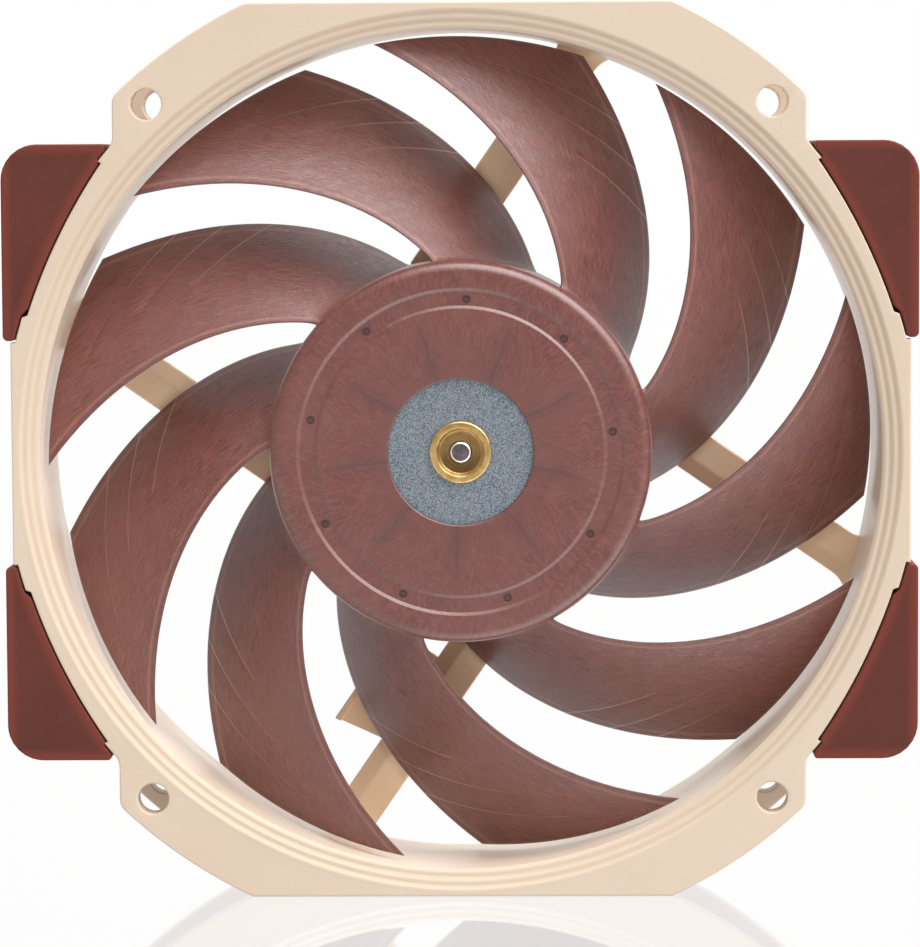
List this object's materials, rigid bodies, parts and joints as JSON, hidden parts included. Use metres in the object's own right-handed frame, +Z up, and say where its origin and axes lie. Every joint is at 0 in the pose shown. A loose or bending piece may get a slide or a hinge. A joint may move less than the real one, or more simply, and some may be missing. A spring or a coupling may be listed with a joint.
{
  "type": "case fan",
  "caption": "Axial computer case fan with a round open-corner frame, clip-in corner pads, swept-blade impeller and sealed outer-rotor motor.",
  "frame": {"origin": "middle of the bottom flat, half way through the depth", "axes": "+Z up, +X to the right seen from the intake side, +Y the way the air leaves; the intake face looks along -Y"},
  "size_m": [0.1428, 0.025, 0.14],
  "materials": {
    "frame_plastic": "satin moulded beige plastic",
    "pad_rubber": "matt reddish-brown rubber",
    "impeller_plastic": "satin fibre-filled brown plastic with fine flow texture",
    "rotor_steel": "galvanised, fine spangle",
    "magnet": "bonded ferrite",
    "brass": "turned",
    "shaft_steel": "ground",
    "sleeve_bronze": "sintered bronze",
    "seal_rubber": "matt black",
    "insulation": "moulded nylon",
    "core_steel": "stacked electrical steel",
    "winding": "enamelled copper wire",
    "board": "solder-masked glass epoxy",
    "chip": "moulded epoxy",
    "capacitor": "ceramic chip",
    "label": "plain coated paper"
  },
  "bodies": {
    "housing": {"frame": "frame_plastic", "pad_upper_left": "pad_rubber", "pad_upper_right": "pad_rubber", "pad_lower_left": "pad_rubber", "pad_lower_right": "pad_rubber", "bearing_shell": "brass", "bearing_sleeve": "sleeve_bronze", "bearing_magnet": "magnet", "oil_seal": "seal_rubber", "thrust_plate": "insulation", "stator_core": "core_steel", "insulator_front": "insulation", "insulator_rear": "insulation", "coil_a": "winding", "coil_b": "winding", "coil_c": "winding", "coil_d": "winding", "winding_pins": "brass", "circuit_board": "board", "driver_chip": "chip", "hall_sensor": "chip", "capacitors": "capacitor", "base_label": "label", "cord_inlet": "seal_rubber"},
    "rotor": {"impeller": "impeller_plastic", "rotor_yoke": "rotor_steel", "magnet_ring": "magnet", "rotor_boss": "brass", "shaft": "shaft_steel", "shaft_clip": "shaft_steel"}
  },
  "joints": [
    {"name": "rotor_spin", "type": "hinge", "parent": "housing", "child": "rotor", "pos_m": [0, 0, 0.07], "axis": [0, -1, 0], "continuous": true}
  ]
}
